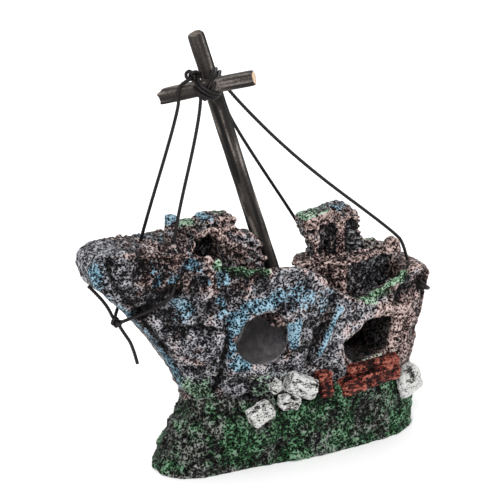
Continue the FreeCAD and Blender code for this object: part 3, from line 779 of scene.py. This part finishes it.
def tower_paint(p, n):
    # Painted shade: the two recessed bays are darkened and the opening is painted near-black.
    left_bay = smooth(20.2, 21.2, p[:, 0]) * (1 - smooth(27.0, 27.8, p[:, 0])) * smooth(-6.8, -5.8, p[:, 1])
    right_bay = smooth(30.6, 31.6, p[:, 0]) * smooth(-6.8, -5.4, p[:, 1])
    opening = blob(p, (24.7, -4.0, 70.3), (2.6, 8.0, 4.0)) * smooth(-6.2, -5.2, p[:, 1])
    dark_wash_and_shade = np.maximum(0.72 * left_bay, 0.6 * right_bay) * (p[:, 1] < -2)
    dark_wash_and_shade = np.maximum(dark_wash_and_shade, 0.97 * opening)
    warm = 0.4 + 0.6 * line_band(p, [(29.2, -7.2, 66.8), (29.2, -7.2, 80.0)], 2.4)
    warm += 0.3 * line_band(p, [(18.4, -7.2, 68.0), (18.4, -7.2, 79.0)], 2.4)
    return {"dark_wash_and_shade": dark_wash_and_shade, "warm": warm}


def cap_paint(p, n):
    top = smooth(0.3, 0.8, n[:, 2])
    moss = 0.5 * top * (1 - smooth(22.0, 28.0, p[:, 0]))
    blue = np.maximum(0.36 * top, 0.5 * blob(p, (27.5, -6.0, 84.0), (3.0, 4.0, 2.4)))
    warm = 0.5 + 0.5 * line_band(p, [(16.0, -7.8, 81.4), (20.4, -7.8, 82.2), (27.4, -7.8, 83.6)], 1.8)
    return {"blue": blue, "moss": moss, "warm": warm, "dark_wash_and_shade": 0.2 * (1 - top)}


def deck_paint(p, n):
    return {"warm": np.full(len(p), 0.5), "dark_wash_and_shade": 0.5 + 0.2 * noise(p, 6.0, 3)}


# Painted shade: the bulkhead under the fore deck is painted dark.
def inner_paint(p, n):
    return {"warm": np.full(len(p), 0.8), "dark_wash_and_shade": 0.6 + 0.3 * noise(p, 3.0, 5)}


def stair_paint(p, n):
    top = smooth(0.4, 0.9, n[:, 2])
    return {"moss": 0.3 * top, "warm": np.full(len(p), 0.5), "dark_wash_and_shade": 0.62 - 0.2 * top}


def bollard_paint(p, n):
    head = smooth(64.0, 66.4, p[:, 2])
    return {"warm": 0.4 + 0.3 * head, "dark_wash_and_shade": 0.6 * (1 - head)}


def white_shape(p, n):
    offset, _ = pitted(p, 3.4, 1.5, 0.35, 0.75, 61)
    streak = noise(p * np.array([0.4, 1.0, 0.8]), 0.8, 65)
    strings = 1 - np.abs(noise(p, 1.6, 63))
    dents = 1 - smooth(-0.6, -0.05, layered(p, 2.6, 69, 2))
    return (0.8 * offset + 0.35 * (strings ** 3 - 0.4) + 0.25 * streak - 0.45 * dents,
            0.6 + 0.28 * (strings ** 3 - 0.4) + 0.3 * streak - 0.6 * dents)


def drum_shape(p, n):
    """The column drum: worn flutes along its axis and a flat, chipped end."""
    axis = np.array([9.6, -1.2, -5.0]) / 10.9
    along = p @ axis
    streak = noise(p - 0.8 * along[:, None] * axis, 0.9, 75)
    chips = 1 - smooth(-0.55, -0.2, layered(p, 2.0, 77, 2))
    return 0.3 * streak - 0.4 * chips - 0.35, 0.66 + 0.42 * streak - 0.5 * chips


def red_shape(p, n):
    offset, height = pitted(p, 3.6, 1.3, 0.2, 0.55, 67)
    streak = noise(p * np.array([0.2, 1.0, 1.0]), 0.9, 68)
    worn = 1 - smooth(-0.5, 0.0, layered(p, 3.4, 73, 2))
    return offset + 0.25 * streak - 0.25 * worn, height + 0.25 * streak - 0.3 * worn


def boulder_shape(p, n):
    offset, height = white_shape(p, n)
    return offset, height + 0.22


def no_paint(p, n):
    return {}


sculpt("hull_shell", 0.54, 5, hull_shape, hull_paint, painted_resin, "painted_resin")
sculpt("rock_base", 0.62, 5, rock_shape, rock_paint, rock_resin, "rock_resin")
sculpt("fore_cabin_ruin", 0.4, 4, coarse_shape(101, 0.6, ((0.62, 0.0, 0.78), 2.6, -14.0)),
       fore_cabin_paint, painted_resin, "painted_resin", 0.3)
sculpt("fore_cabin_wall", 0.3, 4, plain_shape(111), fore_wall_paint, painted_resin, "painted_resin")
sculpt("fore_cabin_pillar", 0.28, 3, plain_shape(115), pillar_paint, painted_resin, "painted_resin")
sculpt("aft_cabin", 0.45, 6, coarse_shape(121, 0.5), aft_cabin_paint, painted_resin, "painted_resin")
sculpt("aft_cabin_roof", 0.32, 3, coarse_shape(125, 0.35), roof_paint, painted_resin, "painted_resin")
sculpt("lookout_tower", 0.3, 3, coarse_shape(131, 0.4, ((0.25, 0.0, 0.97), 1.9, 30.0)), tower_paint, painted_resin, "painted_resin")
sculpt("tower_cap", 0.34, 4, coarse_shape(135, 0.45), cap_paint, painted_resin, "painted_resin", 0.35)
sculpt("stair_block", 0.22, 1, plain_shape(141, 0.25), stair_paint, painted_resin, "painted_resin")
sculpt("stern_bollard", 0.3, 5, plain_shape(145, 0.5), bollard_paint, painted_resin, "painted_resin")
sculpt("main_deck", 0.6, 3, plain_shape(151), deck_paint, painted_resin, "painted_resin")
sculpt("fore_deck", 0.6, 3, plain_shape(155), deck_paint, painted_resin, "painted_resin")
sculpt("deck_bulkhead", 0.5, 3, coarse_shape(157, 0.7), inner_paint, painted_resin, "painted_resin")
for lump_node in ("white_column_drum", "white_stone_large", "white_stone_small", "white_chip"):
    shape = drum_shape if lump_node == "white_column_drum" else white_shape
    sculpt(lump_node, 0.28, 1, shape, no_paint, white_resin, "white_resin")
sculpt("stern_boulder", 0.32, 6, boulder_shape, no_paint, white_resin, "white_resin")
for lump_node in ("red_post_stub", "red_sill_plank", "red_beam"):
    sculpt(lump_node, 0.3, 2, red_shape, no_paint, red_resin, "red_resin")
sculpt("air_stone", 0.34, 3, white_shape, no_paint, air_stone, "air_stone")


# ---- tubes and rods ------------------------------------------------------------------------
def frames_along(path):
    """A tangent and two steady side directions at each point of a path."""
    path = np.array(path, float)
    tangents = np.gradient(path, axis=0)
    tangents /= np.linalg.norm(tangents, axis=1)[:, None]
    side = np.cross(tangents[0], [0.3, 0.9, 0.2])
    sides = []
    for t in tangents:
        side = side - t * (side @ t)
        side = side / np.linalg.norm(side)
        sides.append(side)
    sides = np.array(sides)
    return tangents, sides, np.cross(tangents, sides)


def tube_mesh(name, path, radius_at, around, closed=False):
    """A tube round a path; radius_at(distances along, angles) gives each ring its radii."""
    path = np.array(path, float)
    _, one, two = frames_along(path)
    steps = np.linalg.norm(np.diff(path, axis=0), axis=1)
    along = np.concatenate([[0.0], np.cumsum(steps)])
    angle = np.linspace(0, 2 * math.pi, around, endpoint=False)
    radii = radius_at(along[:, None], angle[None, :])
    ring = np.cos(angle)[None, :, None] * one[:, None, :] + np.sin(angle)[None, :, None] * two[:, None, :]
    points = (path[:, None, :] + radii[:, :, None] * ring).reshape(-1, 3)
    rings = len(path)
    faces = []
    last = rings if closed else rings - 1
    for i in range(last):
        for j in range(around):
            a, b = i * around + j, i * around + (j + 1) % around
            c, d = ((i + 1) % rings) * around + (j + 1) % around, ((i + 1) % rings) * around + j
            faces.append((a, b, c, d))
    if not closed:
        centres = [path[0], path[-1]]
        first = len(points)
        points = np.vstack([points, centres])
        for j in range(around):
            k = (j + 1) % around
            faces.append((first, k, j))
            faces.append((first + 1, (rings - 1) * around + j, (rings - 1) * around + k))
    mesh = bpy.data.meshes.new(name)
    mesh.from_pydata([tuple(v) for v in points * MM], [], faces)
    mesh.update()
    mesh.shade_smooth()
    return mesh


def strands(radius, pitch):
    """Three strands twisted together, seen in section."""
    def radius_at(along, angle):
        lobes = np.abs(np.cos(1.5 * (angle - 2 * math.pi * along / pitch)))
        return radius * (0.88 + 0.2 * lobes)
    return radius_at


def nurbs_points(points, resolution=24):
    """Points along the smooth curve that has these control points, in millimetres."""
    curve = cord_curve("route", points)
    curve.resolution_u = resolution
    obj = object_of(curve, "route")
    graph = bpy.context.evaluated_depsgraph_get()
    mesh = bpy.data.meshes.new_from_object(obj.evaluated_get(graph))
    route = points_of(mesh) / MM
    bpy.data.objects.remove(obj)
    bpy.data.meshes.remove(mesh)
    return route


def cord_curve(name, points):
    curve = bpy.data.curves.new(name, "CURVE")
    curve.dimensions = "3D"
    spline = curve.splines.new("NURBS")
    spline.points.add(len(points) - 1)
    for point, place in zip(spline.points, points):
        point.co = (*(v * MM for v in place), 1)
    spline.order_u = 3
    spline.use_endpoint_u = True
    return curve


def even_steps(route, step):
    """The same line with points at even distances."""
    lengths = np.concatenate([[0.0], np.cumsum(np.linalg.norm(np.diff(route, axis=0), axis=1))])
    count = max(2, int(lengths[-1] / step))
    where = np.linspace(0, lengths[-1], count + 1)
    return np.stack([np.interp(where, lengths, route[:, k]) for k in range(3)], axis=1), lengths[-1]


# ---- rigging directions ----------------------------------------------------------------------
mast_foot = np.array([10.45, 0.0, 50.2])
mast_head = np.array([-21.6, 0.0, 148.2])
mast_radius, mast_foot_radius, yard_radius, cord_radius = 2.75, 3.05, 2.6, 0.55
yard_height, yard_left, yard_right, yard_swing = 132.1, 17.0, 15.6, math.radians(35.6)
mast_dir = (mast_head - mast_foot) / np.linalg.norm(mast_head - mast_foot)
crossing = mast_foot + mast_dir * ((yard_height - mast_foot[2]) / mast_dir[2])
level = np.array([math.cos(yard_swing), -math.sin(yard_swing), 0])
yard_dir = level - mast_dir * (level @ mast_dir)
yard_dir /= np.linalg.norm(yard_dir)
front_dir = np.cross(yard_dir, mast_dir)
rise = np.linalg.norm(crossing - mast_foot) / np.linalg.norm(mast_head - mast_foot)
crossing_radius = mast_foot_radius + (mast_radius - mast_foot_radius) * rise
yard_centre = crossing + front_dir * (crossing_radius + yard_radius + 0.01)


def rigging_point(along, up, front):
    """A place near the crossing, in the yard's, mast's and front directions."""
    return tuple(yard_centre + yard_dir * along + mast_dir * up + front_dir * front)


# ---- spars -------------------------------------------------------------------------------------
def twig(name, start, end, start_radius, radius, seed, slot_node, ragged_start, ragged_end, pale_end):
    """A stick with long fibres, knots and its own ends, one torn or sawn."""
    start, end = np.array(start, float), np.array(end, float)
    length = np.linalg.norm(end - start)
    axis = (end - start) / length
    rings = int(length / 0.5)
    around = 48
    one = np.cross(axis, [0.0, 1.0, 0.0])
    one /= np.linalg.norm(one)
    two = np.cross(axis, one)
    t = np.linspace(0, 1, rings)
    angle = np.linspace(0, 2 * math.pi, around, endpoint=False)
    along = np.repeat(t * length, around)
    turn = np.tile(angle, rings)
    around_place = np.stack([np.cos(turn) * radius, np.sin(turn) * radius, along], axis=1)
    fibre = layered(around_place * np.array([1.0, 1.0, 0.09]), 0.9, seed, 2)
    swell = layered(around_place * np.array([0.4, 0.4, 0.25]), 3.0, seed + 5, 2)
    split = smooth(0.35, 0.6, noise(around_place * np.array([1.0, 1.0, 0.12]), 2.2, seed + 9))
    full = start_radius + (radius - start_radius) * along / length
    r = full * (0.99 + 0.05 * swell) + 0.12 * fibre - 0.22 * split
    shift_start = ragged_start * (0.5 + 0.5 * noise(around_place * np.array([1, 1, 0.0]), 1.8, seed + 21))
    shift_end = ragged_end * (0.5 + 0.5 * noise(around_place * np.array([1, 1, 0.0]), 1.8, seed + 22))
    z = np.clip(along, shift_start, length - shift_end)
    end_fade = 1 - 0.1 * np.exp(-np.minimum(z - shift_start, length - shift_end - z) / 0.35)
    r = r * end_fade
    bend = 0.18 * np.sin(math.pi * along / length) * radius / 2.7
    place = (start + axis * z[:, None] + one * (np.cos(turn) * r + bend)[:, None]
             + two * (np.sin(turn) * r)[:, None])
    points = [place]
    faces = []
    for i in range(rings - 1):
        for j in range(around):
            k = (j + 1) % around
            faces.append((i * around + j, i * around + k, (i + 1) * around + k, (i + 1) * around + j))
    total = len(place)
    # Each end is closed by shrinking rings that dip and rise like torn or sawn wood.
    caps = []
    for ring_index, direction, ragged, cap_seed in ((0, 1, ragged_start, 31), (rings - 1, -1, ragged_end, 37)):
        outer = place[ring_index * around:(ring_index + 1) * around]
        middle = outer.mean(axis=0)
        previous = list(range(ring_index * around, (ring_index + 1) * around))
        for shrink in (0.85, 0.6, 0.35, 0.12):
            ring = middle + (outer - middle) * shrink
            dip = ragged * 0.4 * noise(ring, 1.1, seed + cap_seed) + 0.12 * ragged
            ring = ring + axis * direction * dip[:, None]
            points.append(ring)
            caps.extend([direction] * around)
            new = list(range(total, total + around))
            for j in range(around):
                k = (j + 1) % around
                quad = (previous[j], previous[k], new[k], new[j])
                faces.append(quad if direction < 0 else quad[::-1])
            total += around
            previous = new
        faces.append(tuple(previous if direction < 0 else reversed(previous)))
    mesh = bpy.data.meshes.new(name)
    mesh.from_pydata([tuple(v) for v in np.vstack(points) * MM], [], faces)
    mesh.update()
    mesh.shade_smooth()
    tone = np.concatenate([np.clip(0.5 + 0.5 * fibre - 0.5 * split, 0, 1), np.full(len(caps), 0.4)])
    pale = np.concatenate([np.zeros(len(place)), [pale_end if c < 0 else 0.0 for c in caps]])
    set_mask(mesh, "fibre", tone)
    set_mask(mesh, "along", pale)
    mesh.materials.append(spar_wood)
    obj = object_of(mesh, name)
    finish_piece(obj, "spar_wood", slot_node)
    return obj


twig("mast_stick", mast_foot, mast_head, mast_foot_radius, mast_radius, 500, "mast", 0.3, 0.9, 0.1)
twig("yard_stick", yard_centre - yard_dir * yard_left, yard_centre + yard_dir * yard_right,
     yard_radius, yard_radius, 540, "yard", 3.2, 0.3, 1.0)

# ---- cords ---------------------------------------------------------------------------------------
over_yard = yard_radius + cord_radius + 0.1
behind_mast = -(2 * mast_radius + yard_radius + cord_radius + 0.1)
near_forestay_points = [
    rigging_point(-1.6, 0.4, over_yard + 1.3),
    rigging_point(-2.6, -5.0, over_yard + 0.9),
    (-33.2, -5.1, 81.6), (-33.6, -7.8, 73.6), (-37.0, -14.6, 67.0),
    (-42.2, -10.2, 62.0), (-48.4, -4.0, 57.4), (-50.9, -0.6, 55.2),
    (-49.0, -1.2, 51.6), (-46.4, -1.8, 47.2), (-44.7, -1.6, 40.2)]
far_forestay_points = [
    rigging_point(-4.4, over_yard + 0.5, -0.4),
    rigging_point(-7.4, 3.9, 1.6),
    rigging_point(-9.2, 1.6, 4.2),
    rigging_point(-9.6, -3.0, 3.2),
    (-39.7, 5.0, 80.7), (-39.0, 8.6, 73.6), (-37.6, 14.6, 67.0),
    (-42.6, 10.4, 62.2), (-48.8, 4.2, 58.6), (-51.6, 0.6, 55.8),
    (-54.0, -0.8, 61.0), (-57.2, -1.2, 65.8), (-61.0, -1.4, 70.2)]
backstay_points = [
    rigging_point(4.2, 0.2, -over_yard),
    rigging_point(5.0, -3.6, -2.7),
    (12.6, -6.4, 102.6), (50.6, -8.2, 71.6), (53.4, -8.2, 67.2), (55.4, -8.2, 60.6),
    (56.2, -11.4, 57.4), (57.0, -16.4, 54.4), (61.9, -13.2, 51.0), (62.3, -4.6, 48.8),
    (62.2, 5.0, 48.4), (60.0, 14.6, 48.6), (50.0, 18.8, 49.6), (39.6, 21.4, 50.6),
    (35.2, 20.0, 54.0), (33.4, 18.4, 61.4), (-5.6, 6.6, 115.2),
    rigging_point(1.2, -9.4, behind_mast - 0.9), rigging_point(0.5, -6.8, behind_mast)]
strand_pitch = 3.4
strand_step = 0.22


def free_cord(node, points):
    """A twisted cord along the smooth curve of its control points."""
    route, length = even_steps(nurbs_points(points), strand_step)
    mesh = tube_mesh(node, route, strands(cord_radius, strand_pitch), 12)
    mesh.materials.append(waxed_cord)
    obj = object_of(mesh, node + "_cord")
    finish_piece(obj, "waxed_cord", node)
    print(node, "smooth length %.1f mm" % length)
    return obj


def loop_piece(name, route, slot_node, closed=True, pitch=strand_pitch):
    mesh = tube_mesh(name, route, strands(cord_radius, pitch), 12, closed)
    mesh.materials.append(waxed_cord)
    return mesh


def joined(name, meshes):
    """Several meshes as one object."""
    points, faces = [], []
    for mesh in meshes:
        first = len(points)
        points.extend(tuple(v.co) for v in mesh.vertices)
        faces.extend(tuple(first + i for i in f.vertices) for f in mesh.polygons)
        bpy.data.meshes.remove(mesh)
    mesh = bpy.data.meshes.new(name)
    mesh.from_pydata(points, [], faces)
    mesh.update()
    mesh.shade_smooth()
    mesh.materials.append(waxed_cord)
    return object_of(mesh, name)


def lashing_turn(slope, offset, depth, tilt):
    """One closed turn drawn tight round both sticks, slanting up or down to the right."""
    diagonal = math.sqrt(0.5)
    across = yard_dir * diagonal - mast_dir * (diagonal * slope)
    width_dir = np.cross(front_dir, across)
    middle = (crossing + yard_centre) * 0.5 + across * offset
    turn = np.linspace(0, 2 * math.pi, 120, endpoint=False)
    wide = 4.55 - 0.25 * abs(offset)
    c, s = np.cos(turn), np.sin(turn)
    u = wide * np.sign(c) * np.abs(c) ** 0.75
    v = depth * np.sign(s) * np.abs(s) ** 0.75
    return middle + width_dir * u[:, None] + front_dir * v[:, None] + across * (tilt * c * 0.5)[:, None]


turn_tight = mast_radius + yard_radius + cord_radius + 0.05
for lash_node, slope, lift, tilts in (
        ("lashing_rising_turns", 1, 0.0, (0.5, -0.4, 0.3)),
        ("lashing_falling_turns", -1, 0.85, (-0.5, 0.3, 0.6))):
    turns = []
    for offset, tilt in zip((-1.25, 0.0, 1.2), tilts):
        route = lashing_turn(slope, offset, turn_tight + lift + 0.1 * abs(offset), tilt)
        turns.append(loop_piece(lash_node, route, lash_node))
    lash = joined(lash_node + "_cord", turns)
    finish_piece(lash, "waxed_cord", lash_node)


def knot_route(centre, size, one, two, three, wraps=2, lobes=3):
    """A tight overhand knot's line."""
    t = np.linspace(0, 2 * math.pi, 140, endpoint=False)
    x = (np.sin(t) + wraps * np.sin(2 * t)) / 3
    y = (np.cos(t) - wraps * np.cos(2 * t)) / 3
    z = -np.sin(lobes * t) / 2.2
    return (np.array(centre) + size * (x[:, None] * np.array(one) + y[:, None] * np.array(two)
                                       + z[:, None] * np.array(three)))


knot_centre = (-51.1, 0.0, 55.4)
bow_knot = joined("bow_knot_cord", [
    loop_piece("bow_knot", knot_route(knot_centre, 1.7, (0.5, -0.75, 0.4), (0.7, 0.2, -0.65), (0.45, 0.6, 0.65)),
               "bow_knot")])
finish_piece(bow_knot, "waxed_cord", "bow_knot")
lashing_knot = joined("lashing_knot_cord", [
    loop_piece("lashing_knot", knot_route(rigging_point(-4.0, 4.6, -0.9), 1.9, yard_dir, mast_dir, front_dir),
               "lashing_knot")])
finish_piece(lashing_knot, "waxed_cord", "lashing_knot")

free_cord("near_forestay", near_forestay_points)
free_cord("far_forestay", far_forestay_points)
free_cord("backstay", backstay_points)


# ---- air fittings ----------------------------------------------------------------------------------
def lathe(name, axis_start, axis, profile, around=40):
    """A solid turned from (distance along, radius) points; the first and last are on the bore."""
    axis = np.array(axis, float)
    one = np.cross(axis, [1.0, 0.2, 0.1])
    one /= np.linalg.norm(one)
    two = np.cross(axis, one)
    angle = np.linspace(0, 2 * math.pi, around, endpoint=False)
    points, faces = [], []
    for along, radius in profile:
        for a in angle:
            points.append(np.array(axis_start) + axis * along + (one * math.cos(a) + two * math.sin(a)) * radius)
    count = len(profile)
    for i in range(count):
        for j in range(around):
            k = (j + 1) % around
            n = (i + 1) % count
            faces.append((i * around + j, i * around + k, n * around + k, n * around + j))
    mesh = bpy.data.meshes.new(name)
    mesh.from_pydata([tuple(v * MM) for v in points], [], faces)
    mesh.update()
    mesh.shade_smooth()
    return mesh


inlet = (19.0, 21.2, 9.0)
nipple_profile = [
    (-6.0, 1.1), (-6.0, 2.2), (-1.5, 2.2), (-1.5, 3.4), (-1.3, 3.6), (-0.2, 3.6), (0.0, 3.4), (0.0, 2.0),
    (1.6, 2.0), (1.8, 2.3), (3.6, 1.95), (3.8, 1.95), (4.0, 2.3), (5.8, 1.95), (6.0, 1.95), (6.2, 2.3),
    (8.0, 1.75), (8.0, 1.1)]
nipple = object_of(lathe("air_inlet_nipple", inlet, (0, 1, 0), nipple_profile[::-1]), "air_inlet_barbed")
nipple.data.materials.append(air_fitting)
finish_piece(nipple, "air_fitting", "air_inlet_nipple")
tube_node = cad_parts["air_tube"]
tube_node.data.materials.clear()
tube_node.data.materials.append(air_fitting)

# ---- floor, light and camera -------------------------------------------------------------------------
floor_mesh = bpy.data.meshes.new("floor")
reach = 3.0
floor_mesh.from_pydata(
    [(-reach, -reach, 0), (reach, -reach, 0), (reach, reach, 0), (-reach, reach, 0)], [], [(0, 1, 2, 3)])
floor = object_of(floor_mesh, "floor")
floor_graph = Graph("pale_floor")
floor_mesh.materials.append(floor_graph.finish((0.86, 0.86, 0.86, 1), 0.9))

world = bpy.data.worlds.new("studio")
bpy.context.scene.world = world
world.use_nodes = True
world.node_tree.nodes["Background"].inputs["Color"].default_value = (1, 1, 1, 1)
world.node_tree.nodes["Background"].inputs["Strength"].default_value = 0.85


def softbox(name, place, size, power):
    light = bpy.data.lights.new(name, "AREA")
    light.shape = "SQUARE"
    light.size = size
    light.energy = power
    obj = bpy.data.objects.new(name, light)
    collection.objects.link(obj)
    obj.location = place
    aim = Vector((0, 0, 0.06)) - Vector(place)
    obj.rotation_euler = aim.to_track_quat("-Z", "Y").to_euler()


softbox("key", (-0.7, -0.9, 0.9), 0.5, 16)
softbox("fill", (0.9, -0.8, 0.5), 0.8, 6)
softbox("back", (0.3, 1.0, 0.8), 0.7, 7)

look = Vector((0.441, 0.830, -0.342)).normalized()
target = Vector((-0.002, 0.0, 0.072))
camera_data = bpy.data.cameras.new("camera")
camera_data.sensor_width = 36.0
camera_data.lens = 129.6
camera_data.clip_start = 0.01
camera = bpy.data.objects.new("camera", camera_data)
collection.objects.link(camera)
camera.location = target - look * 0.6
camera.rotation_euler = look.to_track_quat("-Z", "Y").to_euler()
bpy.context.scene.camera = camera
bpy.context.scene.view_settings.view_transform = "Standard"
